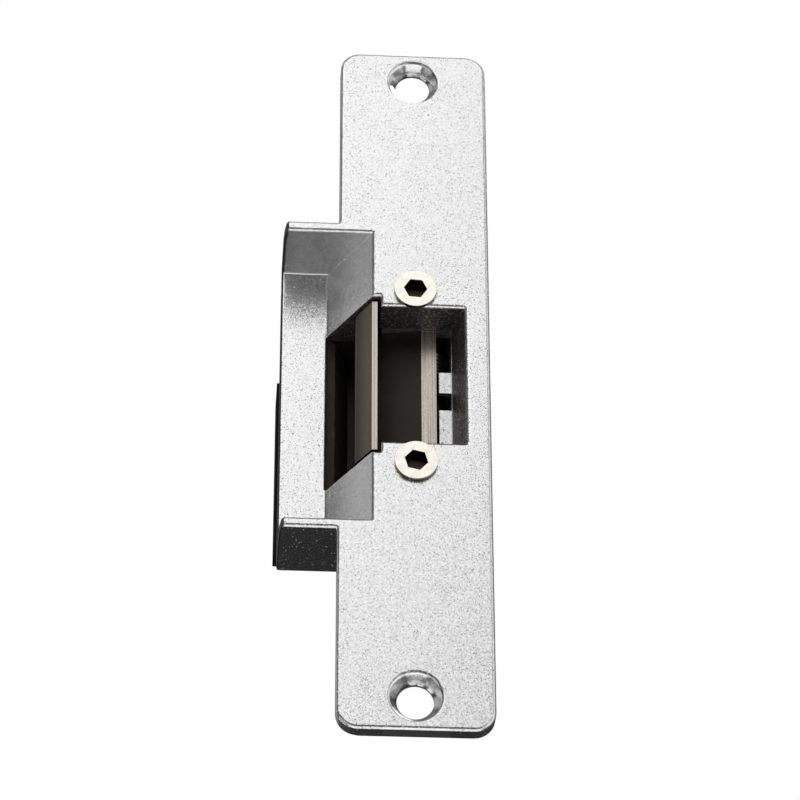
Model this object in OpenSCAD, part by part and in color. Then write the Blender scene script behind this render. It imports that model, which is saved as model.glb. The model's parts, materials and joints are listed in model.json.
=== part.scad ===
// Electric door strike, fail-safe type: the door is free unless the solenoid is powered.
// A face casting carries the lip, the latch recess with its ramp, and the latch pocket.
// A housing behind it holds the swinging keeper, the locking lever and the solenoid.
// Millimetres. X runs across the face, Y from the face into the door frame, Z up.
// The origin is the centre of the face. The keeper is drawn closed, the lever released.

/* [Face casting] */
// Width of the face plate
plate_w = 28.9; // [28:0.1:30]
// Length of the face plate
plate_l = 150; // [148:0.5:160]
// Thickness of the face plate
plate_t = 3.4; // [3:0.1:3.6]
// Corner radius of the face plate
corner_r = 4; // [2:0.5:6]
// How far the lip reaches left of the centre
lip_reach = 25.2; // [25:0.1:25.4]
// Half the length of the body behind the face
body_half = 34.05; // [33.95:0.05:34.2]
// Depth of the casting behind the lip
lip_depth = 17.3; // [17.1:0.1:17.4]
// Depth of the casting behind the latch pocket
frame_depth = 8.3; // [8.1:0.1:8.3]
// Wall thickness of the casting
cast_wall = 1.8; // [1.7:0.1:1.9]
// Thickness of the casting's two end walls
end_wall = 2.2; // [2:0.1:2.4]
// Distance from the centre to the body's right side
body_right = 12.9; // [12.5:0.1:13.5]

/* [Latch recess and pocket] */
// Where the ramp starts at the face
ramp_top_x = -7.9; // [-8.1:0.1:-7.7]
// Where the ramp meets the recess floor
ramp_foot_x = -16.1; // [-16.3:0.1:-16]
// Half the length of the keeper slot
slot_half = 17.35; // [17.3:0.05:17.45]
// Right side of the keeper slot at the face
slot_right = -6.3; // [-6.4:0.1:-6.2]
// Half the height of the latch pocket
pocket_half = 15.1; // [15:0.1:15.2]
// Right side of the pocket at the face
pocket_right = 9.8; // [9.5:0.1:10.5]
// Right side of the pocket at its deep edge
pocket_right_deep = 7.7; // [7.5:0.1:7.7]

/* [Fixing holes and face screws] */
// Distance between the two fixing holes
fixing_pitch = 136.6; // [134:0.1:140]
// Diameter of a fixing hole
fixing_d = 6.8; // [6.2:0.1:7]
// Diameter of its countersink at the face
sink_d = 10.6; // [10:0.1:11]
// Distance between the two face screws
face_screw_pitch = 38.2; // [38:0.1:38.4]
// Distance of the face screws from the plate's middle line
face_screw_x = 0.2; // [0:0.1:0.4]
// Head diameter of a face screw
face_head_d = 8.1; // [7.6:0.1:8.2]
// How far the head stands in front of the face
face_head_h = 0.9; // [0.8:0.05:1.3]
// Shank diameter of a face screw
face_shank_d = 3.9; // [3.8:0.1:3.9]
// Width across flats of its hexagon socket
socket_af = 3.9; // [3:0.1:4]

/* [Keeper] */
// Position of the keeper pin across the face
keeper_x = 4.2; // [4.1:0.1:4.3]
// Depth of the keeper pin behind the face
keeper_y = 15.2; // [15.1:0.1:15.3]
// Diameter of the keeper pin
keeper_pin_d = 3; // [2.8:0.1:3]
// Half the length of the keeper's lip
keeper_half = 16.5; // [16:0.1:16.5]
// Depth of the lip's front edge behind the face
lip_edge_y = 1.4; // [1.2:0.1:2]
// Thickness of the lip's front edge
lip_edge_t = 1.0; // [0.8:0.1:1.1]
// Radius of the keeper's rounded heel
heel_r = 2.6; // [2.4:0.1:2.7]

/* [Locking lever] */
// Position of the lever pin across the face
lever_x = -4.2; // [-4.3:0.1:-4.1]
// Height of the lever pin
lever_z = 27; // [26.9:0.1:27.1]
// Diameter of the lever pin
lever_pin_d = 2.5; // [2.3:0.1:2.5]
// Depth of the lever's front face behind the face plate
lever_y = 21.4; // [21.4:0.1:21.5]
// Thickness of the lever
lever_t = 2; // [1.8:0.1:2]

/* [Solenoid] */
// Position of the solenoid axis across the face
coil_x = -20.4; // [-20.5:0.1:-20.3]
// Depth of the solenoid axis behind the face
coil_y = 22.4; // [22.3:0.1:22.5]
// Top of the solenoid frame
frame_top = 7.2; // [7:0.1:7.2]
// Bottom of the solenoid frame
frame_bottom = -23.6; // [-24:0.1:-23]
// Plunger diameter
plunger_d = 4; // [3.8:0.1:4]
// Height of the link pin at rest
link_z = 23; // [22.9:0.1:23.1]
// Stroke of the plunger
stroke = 3.6; // [3.4:0.1:3.6]

/* [Leads] */
// Diameter of an insulated lead
lead_d = 1.5; // [1.2:0.1:1.5]
// Height where the insulation of the leads ends
lead_end = -48; // [-50:1:-44]

/* [Hidden] */
$fn = 64;
eps = 0.01;
over = 1;                              // how far a cutter runs past a face
recess_depth = lip_depth - cast_wall;  // depth of the recess floor
recess_half = body_half - end_wall;
face_mid = -0.25;                      // the openings sit a little below the plate's middle
screw_mid = -0.7;                      // and so do the face screws
body_mid = -0.15;
collar_r = 2.6;                        // collar under a face screw's head
collar_y = 1.8;
fixing_z = fixing_pitch / 2;
sink_land = 0.6;                       // straight part of a fixing hole, behind its countersink
face_screw_z = face_screw_pitch / 2;

// Housing: its front is stepped, deeper behind the lip than behind the pocket
house_front = frame_depth + 0.1;
house_lip_front = lip_depth + 0.1;
house_step_x = -5.7;                   // where the front steps back
house_left = -25;
house_half = 33.4;
house_back = 25.8;
house_wall = 1.8;
cavity_half = 17.6;                    // half the height of the keeper's swing space
cavity_r = 18.9;                       // its left wall follows the keeper's swing
cavity_right = 7.7;
throat_half = 15.45;                   // half the height of its opening towards the casting
cavity_front = 12.6;                   // in front of this the cavity is only pocket high
tail_top = 20.5;                       // top of the space for the keeper's tail
bay_right = -15.8;                     // right side of the solenoid bay
bay_top = 8.2;
bay_floor = 18.6;
face_thread_depth = 12;
cheek_top = 23.5;                      // top of the wall that holds the upper pin end
pin_foot = -20.8;                      // bottom of the blind hole for the lower pin end
boss_y = lever_y - 0.1;                // the lever runs on this boss

// Rear cover, its screws and the coil cover
rear_t = 1.2;
rear_face = house_back + rear_t;
total_depth = 28;
screw_r = 1.1;
rear_screws = [[10.7, 29.5], [-13, 30], [10.7, -29.5], [-7.6, -30]];
cover_screw = [-12.6, -21.5];
cover_left = -25.65;
cover_wall = 0.8;
cover_bottom = -27.6;
ear_right = -10.4;
ear_bottom = -24.4;
ear_top = -18.6;
corner_x = -13.1;                      // the housing's lower left corner is cut away
corner_z = -28.5;

// Keeper
pivot = [keeper_x, keeper_y];
barrel_r = 3;
barrel_end_r = 2.4;
base_half = 15.3;
pin_play = 0.03;
tail_z0 = 17;
tail_z1 = 19.8;
tail_x = -4.3;
tail_back = 18.2;
relief_z0 = 6.6;                       // the barrel is cut away here for the spring
relief_z1 = 13.4;
relief_r = 3.6;
strip_y = 9;                           // depth of the flat beside the latch
ramp_run = (ramp_top_x - ramp_foot_x) / recess_depth;

// Keeper spring: a wire coil round the pin with one leg on the keeper, one on the housing
spring_wire = 0.8;
spring_r = 2.25;
spring_turns = 6;
spring_foot = [-5, 15.15];             // where the first leg bears under the keeper
spring_z0 = 7.6;
spring_pitch = 0.86;
wall_leg = 6.2;

// Lever
lever_back = lever_y + lever_t;
nose_right = -4.7;
nose_w = 3;
nose_bottom = 17.4;
nose_top = 20.2;
nose_front = 18.35;
fork_half = 2.6;
fork_w = 5.2;
fork_slot = 1.15;

// Solenoid
frame_half = 3.6;
frame_plate = 1;
frame_front = 18.7;
frame_back = 27.1;
bobbin_flange = 0.8;
bobbin_r = 3.65;
winding_r = 3.5;
tube_r = 2.75;
tube_bore = 2.2;
coil_top = frame_top - frame_plate;
coil_bottom = frame_bottom + frame_plate;
core_top = -13.6;
plunger_foot = core_top + stroke + 0.2;
clevis_r = 3;
clevis_z0 = 17;
clevis_z1 = 26;
clevis_slot_z = 18.6;
link_pin_r = 1;
plunger_wire = 0.6;
plunger_spring_r = 2.5;
plunger_spring_turns = 8;

// Leads and their grommet
gland_x = 4.5;
gland_y = 20.5;
gland_gap = 2.6;                       // distance between the two leads in the grommet
gland_r = 3.35;
wall_top = house_wall - house_half;    // inner face of the bottom wall
notch_z0 = -27.1;
notch_z1 = -24.7;
notch_mid = -25.9;

// ---- shapes that repeat ----

// Box between two opposite corners
module block(lo, hi) {
    translate(lo) cube(hi - lo);
}

// Cylinder along Y, centred on x, z
module rod_y(x, z, r, y0, y1, r2 = undef) {
    translate([x, y0, z]) rotate([-90, 0, 0])
        cylinder(r1 = r, r2 = is_undef(r2) ? r : r2, h = y1 - y0);
}

// Cylinder along Z, centred on x, y
module rod_z(x, y, r, z0, z1) {
    translate([x, y, z0]) cylinder(r = r, h = z1 - z0);
}

// Plate of an X-Z outline between two depths
module slab_y(y0, y1) {
    translate([0, y1, 0]) rotate([90, 0, 0]) linear_extrude(y1 - y0) children();
}

// Bar of an X-Y section between two heights
module slab_z(z0, z1) {
    translate([0, 0, z0]) linear_extrude(z1 - z0) children();
}

// A shape and its mirror image about a height
module both_ends(mid = 0) {
    translate([0, 0, mid]) {
        children();
        mirror([0, 0, 1]) children();
    }
}

// A bar of an X-Y section, as long above a height as below it
module slab_about(mid, half) {
    slab_z(mid - half, mid + half) children();
}

module rounded_rect(w, l, r) {
    square([w - 2 * r, l], center = true);
    square([w, l - 2 * r], center = true);
    for (sx = [-1, 1], sy = [-1, 1])
        translate([sx * (w / 2 - r), sy * (l / 2 - r)]) circle(r);
}

function unit(v) = v / norm(v);
function tangent(p, i) = unit(p[min(i + 1, len(p) - 1)] - p[max(i - 1, 0)]);

// Round wire along a path; ref is any direction that the path never runs along
module wire(path, r, ref, sides = 8) {
    n = len(path);
    rings = [for (i = [0:n - 1])
        let (t = tangent(path, i), u = unit(cross(t, ref)), v = cross(u, t))
        for (k = [0:sides - 1])
            path[i] + r * (cos(360 * k / sides) * u + sin(360 * k / sides) * v)];
    walls = [for (i = [0:n - 2], k = [0:sides - 1])
        let (a = i * sides + k, b = i * sides + (k + 1) % sides)
        each [[a, b, b + sides], [a, b + sides, a + sides]]];
    ends = [[for (k = [sides - 1:-1:0]) k], [for (k = [0:sides - 1]) (n - 1) * sides + k]];
    polyhedron(points = rings, faces = concat(walls, ends));
}

// Smooth curve through way-points
function blend(a, b, c, d, t) = 0.5 * (2 * b + (c - a) * t
    + (2 * a - 5 * b + 4 * c - d) * t * t + (3 * b - a - 3 * c + d) * t * t * t);
function curve(p, steps) = let (n = len(p), q = concat([2 * p[0] - p[1]], p, [2 * p[n - 1] - p[n - 2]]))
    concat([for (i = [1:n - 1], s = [0:steps - 1]) blend(q[i - 1], q[i], q[i + 1], q[i + 2], s / steps)],
           [p[n - 1]]);

// Height of a compression spring's wire after t turns, with a closed turn at each end
function spring_rise(t, turns, l, d) = let (flat = 1.06 * d)
    t < 1 ? t * flat
    : t > turns - 1 ? l - (turns - t) * flat
    : flat + (t - 1) * (l - 2 * flat) / (turns - 2);

// E-clip that snaps into a groove of radius r
module clip_outline(r, r_out) {
    difference() {
        circle(r_out);
        circle(r);
        translate([0, -r * 0.8]) square([r_out + over, r * 1.6]);
        for (a = [110, 250]) rotate(a) translate([r, 0]) circle(r * 0.4, $fn = 24);
    }
}

// Pan-head screw driven from the back, with a cross recess
module back_screw(x, z, depth) {
    head_r = 2.1;
    difference() {
        union() {
            rod_y(x, z, screw_r, rear_face - depth, rear_face);
            rod_y(x, z, head_r, rear_face, rear_face + 0.6);
            rod_y(x, z, head_r, rear_face + 0.6, total_depth, r2 = 1.6);
        }
        for (a = [0, 90])
            translate([x, total_depth, z]) rotate([0, a, 0])
                cube([2.2, 1.2, 0.5], center = true);
    }
}

// ---- face casting ----

module recess_section() {
    polygon([[-lip_reach - over, -over], [ramp_top_x + over * ramp_run, -over],
             [ramp_foot_x, recess_depth], [-lip_reach - over, recess_depth]]);
}

module pocket_section() {
    slope = (pocket_right - pocket_right_deep) / frame_depth;
    polygon([[slot_right - eps, -over], [pocket_right + over * slope, -over],
             [pocket_right_deep - over * slope, frame_depth + over],
             [slot_right - eps, frame_depth + over]]);
}

// The lip's front corner is rounded off
module lip_section() {
    right = house_step_x - 0.1;
    polygon([[-lip_reach + 0.6, 0], [right, 0], [right, lip_depth], [-lip_reach, lip_depth],
             [-lip_reach, 6], [-lip_reach + 0.12, 3], [-lip_reach + 0.32, 1.2]]);
}

// The lip block is cored out from behind, between the ramp wall and its right wall
module core_section() {
    wall = 2;
    right = house_step_x - 0.1 - cast_wall;
    back = lip_depth + over;
    front = plate_t + 0.4;
    shift = wall * sqrt(1 + ramp_run * ramp_run);
    back_x = ramp_top_x + shift - back * ramp_run;
    polygon([[right, front], [right, back], [back_x, back],
             [ramp_top_x + shift - front * ramp_run, front]]);
}

module face_casting() color([0.78, 0.79, 0.8]) difference() {
    block_right = house_step_x - 0.1;
    screw_hole_r = face_shank_d / 2 + 0.2;
    union() {
        slab_y(0, plate_t) rounded_rect(plate_w, plate_l, corner_r);
        slab_about(body_mid, body_half) {
            lip_section();
            translate([block_right - eps, 0]) square([body_right - block_right, frame_depth]);
        }
    }
    slab_about(face_mid, recess_half) recess_section();
    translate([0, 0, face_mid]) {
        block([ramp_foot_x, -over, -slot_half], [slot_right, frame_depth, slot_half]);
        block([ramp_foot_x, frame_depth - eps, -slot_half],
              [block_right + eps, lip_depth + over, slot_half]);
    }
    slab_about(face_mid, pocket_half) pocket_section();
    both_ends(screw_mid) {
        rod_y(face_screw_x, face_screw_z, screw_hole_r, -over, frame_depth + over);
        rod_y(face_screw_x, face_screw_z, collar_r + 0.1, -over, collar_y + 0.05);
    }
    both_ends() {
        slab_z(slot_half + cast_wall - face_mid, recess_half + face_mid) core_section();
        block([block_right + cast_wall, plate_t, face_screw_z + 4.2],
              [body_right - cast_wall, frame_depth + over, recess_half + face_mid]);
        rod_y(0, fixing_z, fixing_d / 2, -over, plate_t + over);
        rod_y(0, fixing_z, sink_d / 2, 0, plate_t - sink_land, r2 = fixing_d / 2);
    }
}

// Face screw; turn is where its hexagon socket came to rest
module face_screw(z, turn) {
    tip_y = 11.8;
    difference() {
        union() {
            rod_y(face_screw_x, z, face_head_d / 2, -face_head_h, 0);
            rod_y(face_screw_x, z, collar_r, -eps, collar_y);
            rod_y(face_screw_x, z, face_shank_d / 2, collar_y - eps, tip_y);
        }
        translate([face_screw_x, -face_head_h - over, z]) rotate([-90, turn, 0])
            cylinder(d = socket_af / cos(30), h = over + 2.3, $fn = 6);
    }
}

module face_screws() color([0.85, 0.83, 0.78]) {
    face_screw(screw_mid + face_screw_z, 4);
    face_screw(screw_mid - face_screw_z, 13);
}

// ---- housing ----

module housing_solid() {
    block([house_step_x, house_front, -house_half], [body_right, house_back, house_half]);
    block([house_left, house_lip_front, -house_half],
          [house_step_x + eps, house_back, house_half]);
}

// Swing space of the keeper: an arc on the left, and a step that opens towards the casting
module swing_section() {
    back = house_back + over;
    steps = 12;
    first = asin((19 - keeper_y) / cavity_r);
    last = asin((back - keeper_y) / cavity_r);
    arc = [for (i = [0:steps]) let (a = first + (last - first) * i / steps)
        pivot + cavity_r * [-cos(a), sin(a)]];
    polygon(concat([[ramp_foot_x, house_lip_front - over]], [[ramp_foot_x, house_lip_front]], arc,
                   [[cavity_right, back], [cavity_right, cavity_front],
                    [house_step_x - over, cavity_front], [house_step_x - over, house_lip_front - over]]));
}

module keeper_space() {
    back = house_back + over;
    slab_about(0, cavity_half) swing_section();
    translate([0, 0, face_mid])
        block([house_step_x - over, house_front - over, -throat_half],
              [cavity_right, cavity_front + eps, throat_half]);
    block([house_step_x - eps, cavity_front, 0], [cavity_right, back, tail_top]);
    block([-8.5, house_lip_front + 0.6, 0], [0, back, tail_top]);
}

module lever_space() {
    back = house_back + over;
    right = 0.5;
    left = house_left + 1.2;
    block([left, 19.2, 18.8], [right, back, house_half - 1.4]);
    block([left, bay_floor, bay_top - over], [bay_right, back, house_half - 1.4]);
    block([right - over, house_front + house_wall, cheek_top],
          [8.6, back, house_half - house_wall]);
}

module lead_space() {
    back = house_back + over;
    block([-4, house_front + house_wall, wall_top], [8.6, back, -22]);
    block([bay_right - over, 21, notch_z0], [-4 + eps, back, notch_z1]);
    rod_z(gland_x, gland_y, gland_r + 0.05, -house_half - over, wall_top + over);
}

// Small guard in front of the keeper's barrel, in two lengths with a gap between
module barrel_guard() {
    spans = [[face_mid - throat_half - eps, -2.3], [1.6, 6.2]];
    for (s = spans) block([5.4, 10, s[0]], [cavity_right + eps, 11.3, s[1]]);
}

module housing() color([0.66, 0.67, 0.68]) difference() {
    union() {
        difference() {
            housing_solid();
            keeper_space();
            lever_space();
            lead_space();
            block([house_left - over, bay_floor, -house_half - over],
                  [bay_right, house_back + over, bay_top]);
            block([house_left - over, bay_floor, -house_half - over],
                  [corner_x, house_back + over, corner_z]);
        }
        barrel_guard();
        rod_y(lever_x, lever_z, 3.2, 19, boss_y);
        block([-15, 19, 28], [-11, house_back, house_half - 1]);
    }
    both_ends(screw_mid) rod_y(face_screw_x, face_screw_z, 2, house_front - over, face_thread_depth);
    rod_y(lever_x, lever_z, lever_pin_d / 2 + 0.02, 13, boss_y + over);
    rod_z(keeper_x, keeper_y, keeper_pin_d / 2 + pin_play, pin_foot, -cavity_half + over);
    rod_z(keeper_x, keeper_y, keeper_pin_d / 2 + pin_play, tail_top - over, cheek_top + over);
    rod_z(keeper_x, keeper_y, 1.8, house_half - house_wall - over, house_half + over);
    for (p = concat(rear_screws, [cover_screw]))
        rod_y(p[0], p[1], screw_r + 0.03, house_back - 6, house_back + over);
}

module rear_outline() {
    difference() {
        union() {
            translate([-15.6, -house_half]) square([15.6 + body_right, 2 * house_half]);
            translate([house_left, 8.4]) square([-house_left - 15, house_half - 8.4]);
        }
        translate([-16, ear_bottom - 0.2])
            square([16 + ear_right + 0.2, ear_top - ear_bottom + 0.4]);
        translate([-16, -house_half - over])
            square([16 + corner_x, house_half + over + corner_z]);
        for (p = rear_screws) translate(p) circle(screw_r + 0.2);
    }
}

module rear_cover() color([0.72, 0.73, 0.74]) slab_y(house_back, rear_face) rear_outline();

module rear_cover_screws() color([0.8, 0.8, 0.78])
    for (p = rear_screws) back_screw(p[0], p[1], 6.8);

module coil_cover_screw() color([0.8, 0.8, 0.78]) back_screw(cover_screw[0], cover_screw[1], 6.8);

// Black moulded cover over the solenoid, with an ear for its screw
module coil_cover() color([0.06, 0.06, 0.07]) difference() {
    right = bay_right - 0.1;
    top = bay_top - 0.1;
    union() {
        block([cover_left, bay_floor + 0.1, cover_bottom], [right, house_back, top]);
        block([cover_left, house_back - eps, cover_bottom], [right, total_depth, top]);
        block([right - eps, house_back, ear_bottom], [ear_right, rear_face, ear_top]);
    }
    block([cover_left + cover_wall, bay_floor - over, cover_bottom + cover_wall],
          [right - cover_wall, total_depth - cover_wall, top - cover_wall]);
    block([right - cover_wall - over, bay_floor - over, cover_bottom + cover_wall],
          [right + over, house_back, top + over]);
    block([cover_left + cover_wall, bay_floor - over, top - over - cover_wall],
          [right + over, house_back, top + over]);
    rod_y(cover_screw[0], cover_screw[1], screw_r + 0.2, house_back - over, rear_face + over);
}

// ---- keeper ----

// Lip and heel, outside the latch
module keeper_lip_section() {
    outer_x = ramp_top_x - 0.1;
    heel = [-8.35, 7.6];
    back_x = heel[0] - heel_r;
    reach = heel - [outer_x, lip_edge_y];
    touch = 90 + atan2(reach[1], reach[0]) + asin(heel_r / norm(reach));
    steps = 6;
    arc = [for (i = [0:steps]) let (a = 180 + (touch - 180) * i / steps)
        heel + heel_r * [cos(a), sin(a)]];
    polygon(concat([[outer_x, lip_edge_y], [outer_x + lip_edge_t, lip_edge_y], [-6.7, 11],
                    [-6.6, 13.9], [back_x + 1.1, 13.9], [back_x, 11.5]], arc));
}

// Floor under the latch, from the lip to the barrel
module keeper_base_section() {
    polygon([[-6.7, 11], [1.9, strip_y + 0.3], [1.9, strip_y], [4.8, strip_y], [4.8, 13],
             [1.4, 15.6], [-6.7, 13.9]]);
}

module keeper() color([0.45, 0.43, 0.41]) difference() {
    union() {
        slab_z(-keeper_half, keeper_half) keeper_lip_section();
        slab_about(face_mid, base_half) keeper_base_section();
        rod_z(keeper_x, keeper_y, barrel_r, face_mid - base_half, face_mid + base_half);
        rod_z(keeper_x, keeper_y, barrel_end_r, -16.9, tail_z1);
        slab_z(tail_z0, tail_z1) translate([tail_x, 15])
            square([keeper_x - tail_x, tail_back - 15]);
    }
    rod_z(keeper_x, keeper_y, keeper_pin_d / 2 + pin_play, -20, tail_z1 + over);
    rod_z(keeper_x, keeper_y, relief_r, relief_z0, relief_z1);
}

module keeper_pin() color([0.75, 0.75, 0.76]) difference() {
    rod_z(keeper_x, keeper_y, keeper_pin_d / 2, pin_foot + 0.1, cheek_top + 1.4);
    difference() {
        rod_z(keeper_x, keeper_y, keeper_pin_d, cheek_top + 0.1, cheek_top + 0.7);
        rod_z(keeper_x, keeper_y, 1.2, cheek_top, cheek_top + 0.8);
    }
}

module keeper_pin_clip() color([0.3, 0.29, 0.28])
    slab_z(cheek_top + 0.15, cheek_top + 0.65) translate(pivot) clip_outline(1.22, 2.9);

module keeper_washers() color([0.9, 0.89, 0.84]) {
    for (z = [[-17.5, -17], [tail_z1 + 0.1, tail_top - 0.1]]) difference() {
        rod_z(keeper_x, keeper_y, barrel_end_r, z[0], z[1]);
        rod_z(keeper_x, keeper_y, keeper_pin_d / 2 + 0.05, z[0] - over, z[1] + over);
    }
}

// The first leg touches the coil where a line from its foot grazes it
module keeper_spring() color([0.6, 0.6, 0.62]) {
    reach = pivot - spring_foot;
    leg = sqrt(reach * reach - spring_r * spring_r);
    heading = atan2(reach[1], reach[0]) + asin(spring_r / norm(reach));
    start = heading + 90;
    sweep = 360 * spring_turns - 45 + heading;
    steps = 24 * spring_turns;
    coil = [for (i = [0:steps]) let (a = start - sweep * i / steps)
        [keeper_x + spring_r * cos(a), keeper_y + spring_r * sin(a),
         spring_z0 + spring_pitch * sweep / 360 * i / steps]];
    first = [spring_foot[0], spring_foot[1], spring_z0];
    last = start - sweep;
    wall_end = coil[steps] + wall_leg * [sin(last), -cos(last), 0];
    wire(concat([first, first + (coil[0] - first) * 0.97], coil, [wall_end]),
         spring_wire / 2, [0, 0, 1]);
}

// ---- locking lever ----

module lever_outline() {
    arm = [lever_x - coil_x, lever_z - link_z];
    translate([lever_x, lever_z]) circle(3.6);
    translate([lever_x, lever_z]) rotate(180 + atan2(arm[1], arm[0])) translate([0, -2.2])
        square([norm(arm) - 2.6, 4.4]);
    translate([coil_x - 2.4, link_z - fork_half]) square([fork_w, 2 * fork_half]);
    translate([nose_right - nose_w, nose_bottom]) square([nose_w, lever_z - nose_bottom]);
}

module locking_lever() color([0.55, 0.53, 0.5]) difference() {
    union() {
        slab_y(lever_y, lever_back) lever_outline();
        block([nose_right - nose_w, nose_front, nose_bottom], [nose_right, lever_back, nose_top]);
    }
    rod_y(lever_x, lever_z, lever_pin_d / 2 + pin_play, lever_y - over, lever_back + over);
    rod_y(coil_x, link_z, fork_slot, lever_y - over, lever_back + over);
    block([coil_x - 4, lever_y - over, link_z - fork_slot],
          [coil_x, lever_back + over, link_z + fork_slot]);
}

module lever_pin() color([0.75, 0.75, 0.76]) difference() {
    rod_y(lever_x, lever_z, lever_pin_d / 2, 13.2, lever_back + 1.4);
    difference() {
        rod_y(lever_x, lever_z, lever_pin_d, lever_back + 0.1, lever_back + 0.7);
        rod_y(lever_x, lever_z, 1, lever_back, lever_back + 0.8);
    }
}

module lever_clip() color([0.3, 0.29, 0.28])
    slab_y(lever_back + 0.15, lever_back + 0.65)
        translate([lever_x, lever_z]) rotate(180) clip_outline(1.02, 2.5);

// ---- solenoid ----

module plunger() color([0.7, 0.7, 0.71]) difference() {
    slot_y = lever_y - 0.1;
    union() {
        rod_z(coil_x, coil_y, plunger_d / 2, plunger_foot, clevis_z0 + eps);
        rod_z(coil_x, coil_y, clevis_r, clevis_z0, clevis_z1);
    }
    block([coil_x - clevis_r - over, slot_y, clevis_slot_z],
          [coil_x + clevis_r + over, slot_y + lever_t + 0.2, clevis_z1 + over]);
    rod_y(coil_x, link_z, link_pin_r + 0.02, coil_y - 4, coil_y + 4);
}

module link_pin() color([0.8, 0.8, 0.8])
    rod_y(coil_x, link_z, link_pin_r, coil_y - 2.8, coil_y + 2.8);

module plunger_spring() color([0.6, 0.6, 0.62]) {
    l = clevis_z0 - frame_top - plunger_wire - 0.1;
    steps = 20 * plunger_spring_turns;
    z0 = frame_top + plunger_wire / 2 + 0.05;
    wire([for (i = [0:steps]) let (t = plunger_spring_turns * i / steps)
        [coil_x + plunger_spring_r * cos(360 * t), coil_y + plunger_spring_r * sin(360 * t),
         z0 + spring_rise(t, plunger_spring_turns, l, plunger_wire)]],
        plunger_wire / 2, [0, 0, 1]);
}

module solenoid_frame() color([0.74, 0.74, 0.72]) difference() {
    x0 = coil_x - frame_half;
    x1 = coil_x + frame_half;
    union() {
        block([x0, frame_back - frame_plate, frame_bottom], [x1, frame_back, frame_top]);
        for (z = [frame_bottom, frame_top - frame_plate])
            block([x0, frame_front, z], [x1, frame_back, z + frame_plate]);
    }
    rod_z(coil_x, coil_y, plunger_d / 2 + 0.15, frame_top - 2 * frame_plate, frame_top + over);
    rod_z(coil_x, coil_y, 1.5, frame_bottom - over, frame_bottom + 2 * frame_plate);
}

// Iron stop at the foot of the coil, riveted through the frame
module fixed_core() color([0.62, 0.62, 0.63]) {
    rod_z(coil_x, coil_y, 2.1, coil_bottom, core_top);
    rod_z(coil_x, coil_y, 1.48, frame_bottom - eps, coil_bottom + eps);
    rod_z(coil_x, coil_y, 2.2, frame_bottom - 0.6, frame_bottom);
}

module ring_z(r, bore, z0, z1) {
    difference() {
        rod_z(coil_x, coil_y, r, z0, z1);
        rod_z(coil_x, coil_y, bore, z0 - over, z1 + over);
    }
}

module bobbin() color([0.93, 0.92, 0.88]) {
    ring_z(tube_r, tube_bore, coil_bottom, coil_top);
    ring_z(bobbin_r, tube_bore, coil_bottom, coil_bottom + bobbin_flange);
    ring_z(bobbin_r, tube_bore, coil_top - bobbin_flange, coil_top);
}

module coil_winding() color([0.72, 0.4, 0.2])
    ring_z(winding_r, tube_r + 0.02, coil_bottom + bobbin_flange, coil_top - bobbin_flange);

module coil_tape() color([0.85, 0.7, 0.2])
    ring_z(winding_r + 0.14, winding_r + 0.02, coil_bottom + bobbin_flange + 0.4,
           coil_top - bobbin_flange - 0.4);

// ---- leads ----

// A lead runs from the coil through the notch and straight through the grommet
function lead_path(start, notch_y, gland_side, foot) = let (gx = gland_x + gland_side * gland_gap / 2)
    curve([start, [-17.5, notch_y, notch_mid], [-13, notch_y, notch_mid], [-6, notch_y, notch_mid],
           [gx - 3, notch_y - 0.6, notch_mid - 0.6], [gx - 0.3, gland_y + 0.6, -28.6],
           [gx, gland_y, -29.6], [gx, gland_y, -30.4], [gx, gland_y, -34.8],
           [gx, gland_y, -35.6], [gx + gland_side * 0.3, gland_y - 1, -42], foot], 6);

positive_foot = [gland_x - 2.2, gland_y - 2.2, lead_end];
negative_foot = [gland_x + 2.4, gland_y - 1.8, lead_end];

module lead_positive() color([0.7, 0.06, 0.05])
    wire(lead_path([-22, 22.3, -25.1], 22.3, -1, positive_foot), lead_d / 2, [0, 1, 0]);

module lead_negative() color([0.05, 0.05, 0.05])
    wire(lead_path([-21, 24.3, -25.1], 24.3, 1, negative_foot), lead_d / 2, [0, 1, 0]);

module lead_ends() color([0.85, 0.82, 0.75])
    for (p = [positive_foot, negative_foot])
        rod_z(p[0], p[1], 0.42, lead_end - 5, lead_end - 0.02);

module cable_grommet() color([0.08, 0.08, 0.08]) difference() {
    union() {
        rod_z(gland_x, gland_y, gland_r, -house_half - eps, wall_top + eps);
        rod_z(gland_x, gland_y, 4.4, -house_half - 1, -house_half);
        rod_z(gland_x, gland_y, 4.1, wall_top, wall_top + 0.8);
    }
    for (s = [-1, 1])
        rod_z(gland_x + s * gland_gap / 2, gland_y, lead_d / 2 + 0.03,
              -house_half - 2, wall_top + 2);
}

module suppressor_diode() color([0.12, 0.12, 0.13]) {
    y = 14.5;
    z = -26;
    body = 2.6;
    rod = 0.3;
    translate([gland_x - body, y, z]) rotate([0, 90, 0]) cylinder(r = 1.35, h = 2 * body);
    for (s = [-1, 1]) {
        end = gland_x + s * (body + 1.2);
        translate([gland_x + s * body, y, z]) rotate([0, s * 90, 0]) cylinder(r = rod, h = 1.2);
        translate([end, y, z]) sphere(rod);
        rod_y(end, z, rod, y, y + 3.5);
    }
}

// ---- assembly ----

face_casting();
face_screws();
housing();
rear_cover();
rear_cover_screws();
coil_cover();
coil_cover_screw();
keeper();
keeper_pin();
keeper_pin_clip();
keeper_washers();
keeper_spring();
locking_lever();
lever_pin();
lever_clip();
plunger();
link_pin();
plunger_spring();
solenoid_frame();
fixed_core();
bobbin();
coil_winding();
coil_tape();
lead_positive();
lead_negative();
lead_ends();
cable_grommet();
suppressor_diode();
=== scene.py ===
"""Looks of an electric door strike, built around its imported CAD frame.

Metres. X runs across the face plate, Y into the door frame, Z up along the plate.
"""

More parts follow.
